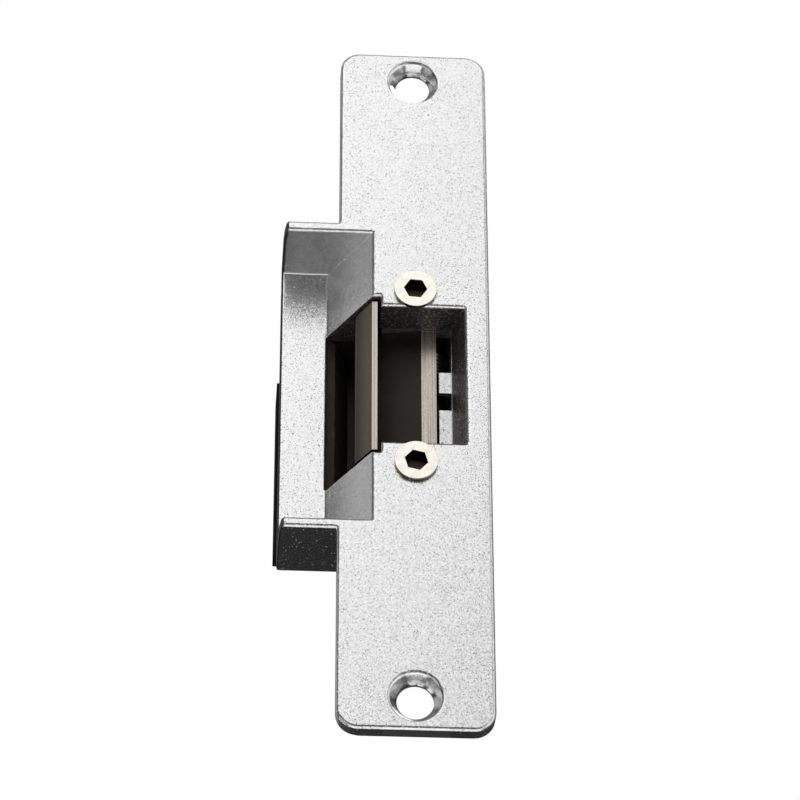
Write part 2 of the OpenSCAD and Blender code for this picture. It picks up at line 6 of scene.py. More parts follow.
import json
import math

import bmesh
import bpy
from mathutils import Matrix, Vector


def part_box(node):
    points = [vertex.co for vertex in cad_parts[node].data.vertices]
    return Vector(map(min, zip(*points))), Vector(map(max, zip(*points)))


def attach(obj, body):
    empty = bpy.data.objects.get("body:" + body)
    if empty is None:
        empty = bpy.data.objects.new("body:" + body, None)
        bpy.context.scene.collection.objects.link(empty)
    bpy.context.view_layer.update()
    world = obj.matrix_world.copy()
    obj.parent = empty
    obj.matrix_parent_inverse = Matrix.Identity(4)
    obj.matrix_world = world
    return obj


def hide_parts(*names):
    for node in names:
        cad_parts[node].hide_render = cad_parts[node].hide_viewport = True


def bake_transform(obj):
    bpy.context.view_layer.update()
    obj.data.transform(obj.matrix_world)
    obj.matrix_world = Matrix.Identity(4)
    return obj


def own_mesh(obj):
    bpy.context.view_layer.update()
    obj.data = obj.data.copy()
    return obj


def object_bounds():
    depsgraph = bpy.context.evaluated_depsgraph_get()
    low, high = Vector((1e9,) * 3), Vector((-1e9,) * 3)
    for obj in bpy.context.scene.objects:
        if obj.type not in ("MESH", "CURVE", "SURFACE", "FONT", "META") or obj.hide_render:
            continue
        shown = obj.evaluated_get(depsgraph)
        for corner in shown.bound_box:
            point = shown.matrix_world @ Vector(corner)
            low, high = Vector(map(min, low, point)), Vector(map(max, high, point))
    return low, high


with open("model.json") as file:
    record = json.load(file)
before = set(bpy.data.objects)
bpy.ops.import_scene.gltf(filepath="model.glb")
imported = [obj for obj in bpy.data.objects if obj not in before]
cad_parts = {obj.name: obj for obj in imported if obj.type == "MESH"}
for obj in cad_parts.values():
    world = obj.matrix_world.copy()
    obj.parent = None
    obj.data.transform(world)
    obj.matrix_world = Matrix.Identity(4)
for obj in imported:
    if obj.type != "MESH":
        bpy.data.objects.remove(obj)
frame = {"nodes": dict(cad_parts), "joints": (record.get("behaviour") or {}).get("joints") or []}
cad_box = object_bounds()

MM = 0.001
nodes = frame["nodes"]
joints = {joint["name"]: joint for joint in frame["joints"]}

# Heights of the face's openings, as the CAD has them
OPENINGS_Z = -0.25 * MM
SLOT_HALF = 17.35 * MM

# CAD corners nearer to each other than WELD are one, and so are faces that differ by less than FLAT
WELD = 0.0005 * MM
FLAT = math.radians(0.6)

# Fillets of the face casting, in millimetres
FRONT_FILLET = 0.72
LIP_END_FILLET = 0.6
OUTER_FILLET, INNER_FILLET = 0.45, 0.36
BACK_FILLET = 0.2
CORE_FILLET = 0.08

# Softboxes: direction from the object, distance, width and height in metres, radiance
LIGHTS = {
    "key": ((-0.24, -0.78, 0.56), 1.3, (1.30, 1.02), 1.15),
    "front_low": ((0.0, -0.242, -0.970), 1.2, (1.6, 1.5), 1.0),
    "left_strip": ((-0.80, 0.40, -0.42), 1.3, (0.7, 0.7), 0.9),
    "right_front": ((0.77, -0.64, 0.0), 1.5, (1.5, 2.8), 0.55),
    "left_low": ((-0.74, -0.52, -0.40), 1.5, (1.5, 0.9), 0.4),
    "back_fill": ((0.55, 0.75, 1.5), 1.3, (1.0, 0.8), 1.8),
}

# Camera: below the face and a little to its left, looking up at it
CAMERA_EYE = Vector((-38.5, -554.7, -345.3)) * MM
CAMERA_TARGET = Vector((-2.8, 0.0, -6.35)) * MM
CAMERA_ROLL = math.radians(-0.14)
CAMERA_LENS = 155.35
CAMERA_SENSOR = 36.0


# ---------------------------------------------------------------- node graphs

class Graph:
    """A node tree with short calls for the nodes that the materials need."""

    def __init__(self, tree):
        self.tree = tree
        tree.nodes.clear()

    def add(self, kind, inputs=None, **settings):
        node = self.tree.nodes.new(kind)
        for key, value in settings.items():
            setattr(node, key, value)
        for key, value in (inputs or {}).items():
            if isinstance(value, bpy.types.NodeSocket):
                self.tree.links.new(value, node.inputs[key])
            else:
                node.inputs[key].default_value = value
        return node

    def math(self, operation, a, b=0.0):
        return self.add("ShaderNodeMath", {0: a, 1: b}, operation=operation).outputs[0]

    def times(self, first, *others):
        product = first
        for other in others:
            product = self.math("MULTIPLY", product, other)
        return product

    def off(self, value, centre):
        """Distance of a number from a centre."""
        return self.math("ABSOLUTE", self.math("SUBTRACT", value, centre))

    def vector_math(self, operation, a, b):
        return self.add("ShaderNodeVectorMath", {0: a, 1: b}, operation=operation).outputs[0]

    def scaled(self, vector, factor):
        node = self.add("ShaderNodeVectorMath", {0: vector, "Scale": factor}, operation="SCALE")
        return node.outputs[0]

    def dot(self, vector, direction):
        node = self.add("ShaderNodeVectorMath", {0: vector, 1: direction}, operation="DOT_PRODUCT")
        return node.outputs["Value"]

    def axis(self, vector, letter):
        return self.add("ShaderNodeSeparateXYZ", {0: vector}).outputs[letter]

    def remap(self, value, low, high, to_low=0.0, to_high=1.0, smooth=False):
        kind = "SMOOTHSTEP" if smooth else "LINEAR"
        node = self.add(
            "ShaderNodeMapRange",
            {"Value": value, "From Min": low, "From Max": high, "To Min": to_low, "To Max": to_high},
            interpolation_type=kind,
        )
        return node.outputs[0]

    def mix(self, factor, a, b):
        """Colour between a and b."""
        node = self.add("ShaderNodeMix", data_type="RGBA")
        for key, value in ((0, factor), (6, a), (7, b)):
            if isinstance(value, bpy.types.NodeSocket):
                self.tree.links.new(value, node.inputs[key])
            elif key == 0:
                node.inputs[key].default_value = value
            else:
                node.inputs[key].default_value = colour(value)
        return node.outputs[2]

    def blend(self, factor, a, b):
        """Number between a and b."""
        return self.add("ShaderNodeMix", {0: factor, 2: a, 3: b}, data_type="FLOAT").outputs[0]


def colour(value):
    return (*value, 1.0) if len(value) == 3 else value


class Surface(Graph):
    """A material's graph. Sizes are in millimetres and textures stay with the object."""

    def __init__(self, name):
        self.material = bpy.data.materials.new(name)
        self.material.use_nodes = True
        super().__init__(self.material.node_tree)
        self.place = self.add("ShaderNodeTexCoord").outputs["Object"]
        self.facing = self.add("ShaderNodeTexCoord").outputs["Normal"]

    def stretched(self, stretch):
        return self.vector_math("MULTIPLY", self.place, stretch)

    def noise(self, size, detail=2.0, stretch=(1, 1, 1)):
        where = self.place if stretch == (1, 1, 1) else self.stretched(stretch)
        inputs = {"Vector": where, "Scale": 1 / (size * MM), "Detail": detail}
        return self.add("ShaderNodeTexNoise", inputs).outputs[0]

    def cells(self, size):
        """Random colour in each grain of about that size."""
        node = self.add("ShaderNodeTexVoronoi", {"Vector": self.place, "Scale": 1 / (size * MM)})
        return node.outputs["Color"]

    def rings(self, radius, spacing):
        """Wave along a radius."""
        return self.math("SINE", self.times(radius, 2 * math.pi / (spacing * MM)))

    def bump(self, height, depth, normal=None):
        inputs = {"Height": height, "Distance": depth * MM, "Strength": 1.0}
        if normal is not None:
            inputs["Normal"] = normal
        return self.add("ShaderNodeBump", inputs).outputs[0]

    def flakes(self, size, tilt, wild, share, normal):
        """Normal that leans at random from grain to grain, as metal flakes in paint do.
        A share of the grains leans much further and sparkles."""
        grain = self.cells(size)
        lean = self.vector_math("SUBTRACT", grain, (0.5, 0.5, 0.5))
        pick = self.math("FRACT", self.times(self.axis(grain, 1), 17.3))
        reach = self.math("ADD", self.times(self.math("LESS_THAN", pick, share), wild), tilt)
        bent = self.vector_math("ADD", normal, self.scaled(lean, reach))
        return self.vector_math("NORMALIZE", bent, (0, 0, 0))

    def finish(self, base, roughness, metallic, normal, more=None):
        inputs = {"Base Color": base, "Roughness": roughness, "Metallic": metallic, "Normal": normal}
        shader = self.add("ShaderNodeBsdfPrincipled", {**inputs, **(more or {})})
        self.add("ShaderNodeOutputMaterial", {"Surface": shader.outputs[0]})
        return self.material


# ---------------------------------------------------------------- materials

def cast_paint():
    """Fine metallic silver paint on a die casting: flakes, sparkle and a soft mottling.
    The walls of the pocket and the slot are painted dark as shade, with light specks as painted sparkle."""
    s = Surface("cast_paint")
    fine = s.axis(s.cells(0.15), 0)
    soft = s.noise(0.26, 2.0)
    grain = s.math("ADD", s.times(fine, 0.5), s.times(soft, 0.5))
    base = s.mix(s.remap(grain, 0.25, 0.75), (0.74, 0.74, 0.745), (0.95, 0.95, 0.952))
    pit = s.remap(s.noise(0.17, 0.0), 0.72, 0.80, 0.0, 0.12)
    base = s.mix(pit, base, (0.34, 0.34, 0.345))
    cloud = s.noise(9.0, 2.0)
    base = s.mix(s.remap(cloud, 0.35, 0.65, 0.0, 0.06), base, (0.74, 0.74, 0.745))
    x, y, z = (s.axis(s.place, letter) for letter in "XYZ")
    facing_x, facing_y, facing_z = (s.axis(s.facing, letter) for letter in "XYZ")

    # Where the surface is: walls of the openings, countersinks, and everything else
    height = s.remap(s.off(z, OPENINGS_Z), SLOT_HALF + 0.02 * MM, SLOT_HALF + 0.06 * MM, 1.0, 0.0)
    behind = s.remap(y, 0.5 * MM, 1.0 * MM)
    right_of_foot = s.remap(x, -16.05 * MM, -16.0 * MM)
    left_of_edge = s.remap(x, 10.6 * MM, 10.7 * MM, 1.0, 0.0)
    pocket_shade = s.times(height, behind, right_of_foot, left_of_edge)
    at_end = s.remap(s.math("ABSOLUTE", z), 60 * MM, 61 * MM)
    slanted = s.remap(s.math("ABSOLUTE", facing_y), 0.85, 0.80)
    midway = s.remap(s.math("ABSOLUTE", x), 6.0 * MM, 6.1 * MM, 1.0, 0.0)
    sink = s.times(at_end, slanted, midway)
    painted = s.math("SUBTRACT", 1.0, sink)

    # Painted light by facing: faces turned from the front get white specks as painted sparkle, bottom
    # faces and the lip's end are painted dark as shade
    speck = s.remap(s.axis(s.cells(0.24), 2), 0.80, 0.95)
    # Faces turned from the front: grey with white specks as painted sparkle
    side_sparkle = s.times(s.remap(facing_y, -0.90, -0.80, 0.0, 0.9), painted)
    base = s.mix(side_sparkle, base, s.mix(speck, (0.78, 0.78, 0.785), (1.0, 1.0, 1.0)))
    # Bottom faces: painted shade
    under = s.times(s.remap(facing_z, -0.93, -0.98, 0.0, 0.42), painted)
    base = s.mix(under, base, (0.12, 0.12, 0.12))
    # The lip's left end: painted shade
    lip_end = s.times(s.remap(facing_x, -0.25, -0.55, 0.0, 0.93), s.remap(x, -24.2 * MM, -24.5 * MM))
    base = s.mix(lip_end, base, (0.02, 0.02, 0.02))
    # Walls of the pocket and the slot: painted shade, with light specks as painted sparkle
    base = s.mix(pocket_shade, base, s.mix(speck, (0.15, 0.145, 0.14), (0.60, 0.59, 0.58)))

    # The back is duller and has no sparkle
    in_front = s.remap(facing_y, 0.5, 0.7, 1.0, 0.0)
    peel = s.bump(s.noise(0.30, 2.0), 0.003)
    wild = s.times(in_front, painted, 0.85)
    flaked = s.flakes(0.15, s.blend(sink, 0.17, 0.05), wild, 0.07, peel)
    roughness = s.blend(sink, s.remap(s.noise(0.8, 2.0), 0.3, 0.7, 0.23, 0.27), 0.18)
    roughness = s.blend(pocket_shade, s.blend(in_front, 0.45, roughness), 0.50)
    metallic = s.blend(in_front, 0.45, 0.96)
    return s.finish(base, roughness, metallic, flaked, {"Coat Weight": 0.05, "Coat Roughness": 0.2})


def housing_paint():
    """The casting's paint outside; inside, the cavity is painted dark brown as shade with a warm painted
    reflection, darker still deep in and on faces turned down.
    """
    s = Surface("housing_paint")
    x, y, z = (s.axis(s.place, letter) for letter in "XYZ")
    fine = s.axis(s.cells(0.20), 0)
    outside = s.mix(fine, (0.62, 0.62, 0.625), (0.84, 0.84, 0.845))
    cloud = s.noise(2.2, 4.0)
    # Cavity colour: painted shade, with a warm painted reflection
    inside = s.mix(s.remap(cloud, 0.3, 0.7), (0.22, 0.18, 0.14), (0.29, 0.24, 0.19))
    # Deeper in and on faces turned down: darker painted shade
    unlit = s.math("MAXIMUM", s.remap(y, 19.5 * MM, 25.5 * MM), s.remap(s.axis(s.facing, "Z"), -0.3, -0.6))
    inside = s.mix(unlit, inside, (0.022, 0.018, 0.015))
    in_x = s.times(s.remap(x, -24.9 * MM, -24.8 * MM), s.remap(x, 12.7 * MM, 12.8 * MM, 1.0, 0.0))
    in_y = s.times(s.remap(y, 11.35 * MM, 11.5 * MM), s.remap(y, 25.70 * MM, 25.78 * MM, 1.0, 0.0))
    in_z = s.remap(s.math("ABSOLUTE", z), 33.1 * MM, 33.3 * MM, 1.0, 0.0)
    off_lip_back = s.remap(s.off(y, 17.6 * MM), 0.02 * MM, 0.04 * MM)
    cavity = s.times(in_x, in_y, in_z, off_lip_back)
    base = s.mix(cavity, outside, inside)
    normal = s.flakes(0.17, 0.14, 0.85, 0.05, s.bump(s.noise(0.35, 3.0), 0.008))
    roughness = s.blend(cavity, 0.28, 0.55)
    metal = s.blend(cavity, 0.92, 0.3)
    return s.finish(base, roughness, metal, normal)


def sheet_steel(name, base_low, base_high, grain_axis, roughness=0.32, metallic=1.0, inner_y=None):
    """Plated sheet: rolling grain along one axis, faint clouding and a few fine scratches.
    In front of inner_y it is painted dark as shade."""
    s = Surface(name)
    stretch = [1.0, 1.0, 1.0]
    stretch["XYZ".index(grain_axis)] = 0.03
    grain = s.noise(0.16, 3.0, tuple(stretch))
    cloud = s.noise(7.0, 3.0)
    base = s.mix(s.times(s.math("ADD", grain, cloud), 0.5), base_low, base_high)
    scratch = s.remap(s.noise(0.9, 1.0, (0.05, 1.0, 1.0)), 0.70, 0.74, 0.0, 0.25)
    base = s.mix(scratch, base, (0.9, 0.9, 0.9))
    if inner_y is not None:
        # Painted shade on the face turned into the housing
        inner_shade = s.remap(s.axis(s.place, "Y"), inner_y, inner_y + 0.1 * MM, 1.0, 0.0)
        base = s.mix(inner_shade, base, (0.020, 0.016, 0.013))
        metallic = s.blend(inner_shade, metallic, 0.2)
    normal = s.bump(grain, 0.006)
    return s.finish(base, s.remap(cloud, 0.3, 0.7, roughness, roughness + 0.10), metallic, normal)


def turned_metal(name, base_low, base_high, roughness, ring_axis="Y"):
    """Turned or ground metal: fine rings about an axis, and slight tarnish."""
    s = Surface(name)
    across = [1.0, 1.0, 1.0]
    across["XYZ".index(ring_axis)] = 0.0
    radius = s.add("ShaderNodeVectorMath", {0: s.stretched(across)}, operation="LENGTH").outputs["Value"]
    rings = s.rings(radius, 0.18)
    tarnish = s.noise(1.6, 3.0)
    base = s.mix(s.remap(tarnish, 0.3, 0.7), base_low, base_high)
    normal = s.bump(rings, 0.0015, s.bump(s.noise(0.2, 2.0), 0.003))
    return s.finish(base, s.remap(tarnish, 0.3, 0.7, roughness + 0.08, roughness), 1.0, normal)


def face_screw_nickel():
    """Warm satin nickel on the screw heads; inside the sockets it is painted dark as shade."""
    s = Surface("face_screw_nickel")
    low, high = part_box("face_screws")
    middle = (low + high) / 2
    depth = s.axis(s.place, "Y")
    across = s.math("SUBTRACT", s.axis(s.place, "X"), middle.x)
    half_spacing = (high.z - low.z - high.x + low.x) / 2
    up = s.math("SUBTRACT", s.off(s.axis(s.place, "Z"), middle.z), half_spacing)
    radius = s.math("SQRT", s.math("ADD", s.times(across, across), s.times(up, up)))
    deep = s.remap(depth, low.y + 0.15 * MM, low.y + 0.6 * MM)
    inside = s.remap(radius, 2.25 * MM, 2.45 * MM, 1.0, 0.0)
    socket = s.times(deep, inside)
    tarnish = s.noise(1.1, 3.0)
    base = s.mix(s.remap(tarnish, 0.3, 0.7), (0.90, 0.84, 0.75), (0.95, 0.90, 0.82))
    speck = s.remap(s.noise(0.35, 1.0), 0.68, 0.74, 0.0, 0.35)
    base = s.mix(speck, base, (0.55, 0.46, 0.36))
    # Sockets: painted shade
    base = s.mix(socket, base, (0.035, 0.026, 0.018))
    # The head's rim, turned away from the front, is painted darker as shade
    side = s.times(s.remap(s.axis(s.facing, "Y"), -0.72, -0.50), s.remap(radius, 3.6 * MM, 3.7 * MM))
    base = s.mix(side, base, (0.30, 0.25, 0.19))
    # A painted shadow line where the head meets the plate
    seam = s.remap(depth, -0.34 * MM, -0.16 * MM)
    base = s.mix(s.times(seam, side), base, (0.03, 0.025, 0.02))
    normal = s.bump(s.rings(radius, 0.16), 0.001, s.bump(s.noise(0.25, 2.0), 0.003))
    roughness = s.blend(socket, s.remap(tarnish, 0.3, 0.7, 0.30, 0.22), 0.30)
    return s.finish(base, roughness, 1.0, normal)


def keeper_nickel():
    """Dark satin nickel, with a bright rubbed front edge and a ground strip beside the latch."""
    s = Surface("keeper_nickel")
    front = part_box("keeper")[0].y
    x, y = (s.axis(s.place, letter) for letter in "XY")
    facing_x, facing_y = (s.axis(s.facing, letter) for letter in "XY")
    fine = s.noise(0.30, 3.0)
    cloud = s.noise(3.5, 3.0)
    dark = s.mix(s.remap(cloud, 0.3, 0.7), (0.044, 0.036, 0.031), (0.064, 0.053, 0.046))
    dark = s.mix(s.times(fine, 0.35), dark, (0.022, 0.018, 0.016))

    # The flank that faces away from the latch is smoother and lighter than the floor under the latch; it
    # fades from light at the front to dark deeper in, as painted shade
    flank = s.remap(facing_x, -0.35, -0.75)
    flank_shade = s.remap(y, 8.2 * MM, 2.5 * MM, smooth=True)
    dark = s.mix(flank, dark, s.mix(flank_shade, (0.018, 0.014, 0.010), (0.170, 0.135, 0.100)))

    # Ground surfaces: the front edge, and the flat beside the latch
    grooves = s.noise(0.22, 2.0, (1.0, 1.0, 0.004))
    bright = s.mix(s.remap(grooves, 0.35, 0.65), (0.42, 0.37, 0.31), (0.74, 0.67, 0.58))
    bright = s.mix(s.remap(s.noise(0.14, 1.0), 0.50, 0.72, 0.0, 0.7), bright, (0.13, 0.115, 0.10))
    edge = s.remap(y, front + 0.10 * MM, front + 0.22 * MM, 1.0, 0.0)
    strip_right = s.remap(x, 1.85 * MM, 1.95 * MM)
    strip_front = s.remap(y, 9.3 * MM, 9.1 * MM)
    strip = s.times(strip_right, strip_front, s.remap(facing_y, -0.90, -0.97))
    ground = s.math("MAXIMUM", edge, strip)
    base = s.mix(ground, dark, bright)
    roughness = s.blend(ground, s.blend(flank, s.remap(cloud, 0.3, 0.7, 0.46, 0.58), 0.36), 0.30)
    normal = s.bump(s.times(grooves, ground), 0.02, s.bump(fine, 0.010))
    return s.finish(base, roughness, 0.95, normal)


def black_moulding():
    """Black glass-filled nylon with a spark-eroded texture."""
    s = Surface("black_moulding")
    tone = s.noise(5.0, 3.0)
    base = s.mix(s.remap(tone, 0.3, 0.7), (0.006, 0.006, 0.0065), (0.010, 0.010, 0.011))
    texture = s.bump(s.noise(0.22, 3.0), 0.035)
    return s.finish(base, s.remap(tone, 0.3, 0.7, 0.62, 0.54), 0.0, texture, {"Specular IOR Level": 0.12})


def moulded(name, base_low, base_high, roughness, grain=0.4, depth=0.01):
    """Plastic, rubber or a dull coating: slight clouding and a fine grain."""
    s = Surface(name)
    tone = s.noise(2.5, 3.0)
    base = s.mix(s.remap(tone, 0.3, 0.7), base_low, base_high)
    return s.finish(base, s.remap(tone, 0.3, 0.7, roughness, roughness - 0.08), 0.0,
                    s.bump(s.noise(grain, 3.0), depth))


def wire_metal(name, base_low, base_high):
    """Drawn wire: fine clouding and a soft shine."""
    s = Surface(name)
    tone = s.noise(0.5, 3.0)
    base = s.mix(s.remap(tone, 0.3, 0.7), base_low, base_high)
    return s.finish(base, s.remap(tone, 0.3, 0.7, 0.35, 0.25), 1.0, s.bump(s.noise(0.12, 2.0), 0.002))


def diode_epoxy():
    """Black diode body with a silver cathode band and tinned leads."""
    s = Surface("diode_epoxy")
    low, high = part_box("suppressor_diode")
    x = s.axis(s.place, "X")
    centre = (low.x + high.x) / 2
    band_at, band_half = centre + 1.7 * MM, 0.35 * MM
    band = s.add("ShaderNodeMath", {0: x, 1: band_at, 2: band_half}, operation="COMPARE").outputs[0]
    lead = s.remap(s.off(x, centre), 2.60 * MM, 2.62 * MM)
    tone = s.noise(0.8, 3.0)
    base = s.mix(s.remap(tone, 0.3, 0.7), (0.015, 0.015, 0.017), (0.03, 0.03, 0.034))
    base = s.mix(band, base, (0.62, 0.62, 0.60))
    base = s.mix(lead, base, (0.72, 0.70, 0.66))
    return s.finish(base, s.blend(lead, 0.35, 0.25), lead, s.bump(s.noise(0.2, 2.0), 0.004))


def floor_paint():
    """Pale studio floor with a glow of its own, seen only from above."""
    s = Surface("floor_paint")
    tone = s.noise(60.0, 3.0)
    base = s.mix(s.remap(tone, 0.3, 0.7), (0.80, 0.80, 0.80), (0.84, 0.84, 0.84))
    glow = {"Emission Color": colour((1.0, 1.0, 1.0)), "Emission Strength": 0.32}
    s.finish(base, 0.6, 0.0, s.bump(s.noise(2.0, 3.0), 0.02), glow)
    shader = next(n for n in s.tree.nodes if n.type == "BSDF_PRINCIPLED")
    output = next(n for n in s.tree.nodes if n.type == "OUTPUT_MATERIAL")
    back = s.add("ShaderNodeNewGeometry").outputs["Backfacing"]
    clear = s.add("ShaderNodeBsdfTransparent").outputs[0]
    both = s.add("ShaderNodeMixShader", {0: back, 1: shader.outputs[0], 2: clear})
    s.tree.links.new(both.outputs[0], output.inputs[0])
    return s.material


# ---------------------------------------------------------------- shapes

def use(obj, material):
    obj.data.materials.clear()
    obj.data.materials.append(material)


def new_object(name, mesh, material):
    obj = bpy.data.objects.new(name, mesh)
    bpy.context.scene.collection.objects.link(obj)
    use(obj, material)
    return obj


def new_piece(name, mesh, material, body, node):
    """Mesh object that rides on a body and stands for a CAD node."""
    obj = new_object(name, mesh, material)
    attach(obj, body)
    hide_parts(node)
    return obj


def modify(obj, name, kind, **settings):
    modifier = obj.modifiers.new(name, kind)
    for key, value in settings.items():
        setattr(modifier, key, value)


def even_shading(obj):
    modify(obj, "normals", "WEIGHTED_NORMAL", keep_sharp=False, weight=60)


def rounded(obj, width):
    """Real rounded edges on a CAD part, as modifiers."""
    modify(obj, "weld", "WELD", merge_threshold=WELD)
    modify(obj, "flat_faces", "DECIMATE", decimate_type="DISSOLVE", angle_limit=FLAT)
    modify(obj, "edges", "BEVEL", width=width * MM, segments=3, limit_method="ANGLE",
           angle_limit=math.radians(35), miter_outer="MITER_ARC", use_clamp_overlap=True)
    even_shading(obj)


def softened(obj):
    """Rounder cable: welded, then subdivided."""
    modify(obj, "weld", "WELD", merge_threshold=WELD)
    modify(obj, "smooth", "SUBSURF", levels=1, render_levels=1)


def clean_copy(node, levels):
    """A CAD part's mesh, welded. Its flat faces are in one piece each between the given heights,
    which run through its openings, so that no face has a hole in it."""
    bm = bmesh.new()
    bm.from_mesh(nodes[node].data)
    bmesh.ops.remove_doubles(bm, verts=bm.verts, dist=WELD)
    for z in levels:
        everything = bm.verts[:] + bm.edges[:] + bm.faces[:]
        cut = bmesh.ops.bisect_plane(bm, geom=everything, dist=0.001 * MM,
                                     plane_co=(0, 0, z), plane_no=(0, 0, 1))
        for item in cut["geom_cut"]:
            if isinstance(item, bmesh.types.BMEdge):
                item.seam = True
    bmesh.ops.dissolve_limit(bm, angle_limit=FLAT, verts=bm.verts, edges=bm.edges,
                             use_dissolve_boundaries=False, delimit={"SEAM"})
    return bm


def near_hole(point, holes):
    return any(math.hypot(point.x - x, point.z - z) < r for x, z, r in holes)


def rounded_casting(material):
    """The face casting with cast fillets: wide on the front edges, narrow in the corners."""
    screw_low, screw_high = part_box("face_screws")
    head = (screw_high.x - screw_low.x) / 2
    screw_x = (screw_high.x + screw_low.x) / 2
    screw_z = (screw_low.z + head, screw_high.z - head)
    openings_z = (screw_low.z + screw_high.z) / 2
    fixing_inset = 6.7 * MM
    fixing_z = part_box("face_casting")[1].z - fixing_inset
    fixing_reach, screw_reach = 5.6 * MM, 3.2 * MM
    holes = [(0, side * fixing_z, fixing_reach) for side in (-1, 1)]
    holes += [(screw_x, z, screw_reach) for z in screw_z]
    core_z = 27 * MM
    lip_back, plate_back = 3.6 * MM, 3.0 * MM
    levels = (-fixing_z, -core_z, screw_z[0], openings_z, screw_z[1], core_z, fixing_z)
    bm = clean_copy("face_casting", levels)
    weight = bm.edges.layers.float.new("bevel_weight_edge")
    for edge in bm.edges:
        if len(edge.link_faces) != 2:
            continue
        angle = math.degrees(edge.calc_face_angle(0.0))
        a, b = (v.co for v in edge.verts)
        middle = (a + b) / 2
        if angle < 22 or near_hole(middle, holes):
            continue
        on_front = max(a.y, b.y) < 0.01 * MM
        at_lip_end = middle.x < -24 * MM
        behind = min(a.y, b.y) > plate_back and middle.x > -6.0 * MM
        in_core = middle.y > lip_back and -15.5 * MM < middle.x < -5.9 * MM and abs(middle.z) > 18.5 * MM
        at_step = abs(middle.y - 8.3 * MM) < 0.5 * MM and -6.4 * MM < middle.x < -5.7 * MM
        if on_front:
            edge[weight] = FRONT_FILLET
        elif at_lip_end and edge.is_convex:
            edge[weight] = LIP_END_FILLET
        elif in_core or at_step:
            edge[weight] = CORE_FILLET
        elif behind or middle.y > lip_back and middle.x > -15 * MM:
            edge[weight] = BACK_FILLET
        else:
            edge[weight] = OUTER_FILLET if edge.is_convex else INNER_FILLET
    mesh = bpy.data.meshes.new("casting")
    bm.to_mesh(mesh)
    bm.free()
    obj = new_piece("casting", mesh, material, "frame", "face_casting")
    modify(obj, "fillets", "BEVEL", width=MM, segments=4, limit_method="WEIGHT",
           miter_outer="MITER_ARC", use_clamp_overlap=False, loop_slide=False)
    even_shading(obj)


def skin(bm, a, b):
    """Faces between two rings with as many vertices."""
    for k in range(len(a)):
        following = (k + 1) % len(a)
        bm.faces.new((a[k], a[following], b[following], b[k]))


def tube(name, path, radius, sides):
    """Round wire along a path of points, closed at both ends."""
    count = len(path)
    bm = bmesh.new()
    rings, across = [], None
    for i, point in enumerate(path):
        along = (path[min(i + 1, count - 1)] - path[max(i - 1, 0)]).normalized()
        if across is None:
            across = along.orthogonal().normalized()
        across = (across - along * across.dot(along)).normalized()
        other = along.cross(across)
        rings.append([
            bm.verts.new(point + radius * (math.cos(2 * math.pi * k / sides) * across
                                           + math.sin(2 * math.pi * k / sides) * other))
            for k in range(sides)
        ])
    for a, b in zip(rings, rings[1:]):
        skin(bm, a, b)
    bm.faces.new(reversed(rings[0]))
    bm.faces.new(rings[-1])
    mesh = bpy.data.meshes.new(name)
    bm.to_mesh(mesh)
    bm.free()
    for face in mesh.polygons:
        face.use_smooth = len(face.vertices) == 4
    return mesh


def join(name, meshes):
    """One mesh of several, which are used up."""
    bm = bmesh.new()
    for mesh in meshes:
        bm.from_mesh(mesh)
        bpy.data.meshes.remove(mesh)
    whole = bpy.data.meshes.new(name)
    bm.to_mesh(whole)
    bm.free()
    return whole


# ---------------------------------------------------------------- wires and coil

def build_plunger_spring(material):
    """Compression spring between the coil and the plunger's head, with closed end turns."""
    low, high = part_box("plunger_spring")
    wire = 0.3 * MM
    mean = (high.x - low.x) / 2 - wire
    centre = Vector(((low.x + high.x) / 2, (low.y + high.y) / 2, 0))
    turns, flat, per_turn = 8, 1.06 * 2 * wire, 28
    length = high.z - low.z - 2 * wire
    path = []
    for i in range(turns * per_turn + 1):
        t = i / per_turn
        if t < 1:
            rise = t * flat
        elif t > turns - 1:
            rise = length - (turns - t) * flat
        else:
            rise = flat + (t - 1) * (length - 2 * flat) / (turns - 2)
        angle = 2 * math.pi * t
        path.append(centre + Vector((mean * math.cos(angle), mean * math.sin(angle), low.z + wire + rise)))
    obj = new_piece("return_spring", tube("return_spring", path, wire, 12), material,
                    "frame", "plunger_spring")
    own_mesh(obj)


def build_keeper_spring(material):
    """Torsion spring on the keeper pin, with a long leg."""
    low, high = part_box("keeper_spring")
    pivot = Vector(joints["keeper_swing"]["pos_m"])
    wire, mean, turns, wall_leg = 0.4 * MM, 2.25 * MM, 6, 6.2 * MM
    foot = Vector((-5.0 * MM, 15.15 * MM))
    reach = Vector((pivot.x, pivot.y)) - foot
    heading = math.atan2(reach.y, reach.x) + math.asin(mean / reach.length)
    start = heading + math.pi / 2
    sweep = 2 * math.pi * turns - math.pi / 4 + heading
    z0 = low.z + wire
    rise = high.z - low.z - 2 * wire
    steps = 32 * turns
    coil = []
    for i in range(steps + 1):
        angle = start - sweep * i / steps
        coil.append(Vector((pivot.x + mean * math.cos(angle), pivot.y + mean * math.sin(angle),
                            z0 + rise * i / steps)))
    first = Vector((foot.x, foot.y, z0))
    leg = [first + (coil[0] - first) * t / 24 for t in range(24)]
    last = start - sweep
    out = Vector((math.sin(last), -math.cos(last), 0))
    tail = [coil[-1] + out * wall_leg * t / 10 for t in range(1, 11)]
    obj = new_object("torsion_spring", tube("torsion_spring", leg + coil + tail, wire, 12), material)
    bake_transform(obj)
    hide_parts("keeper_spring")


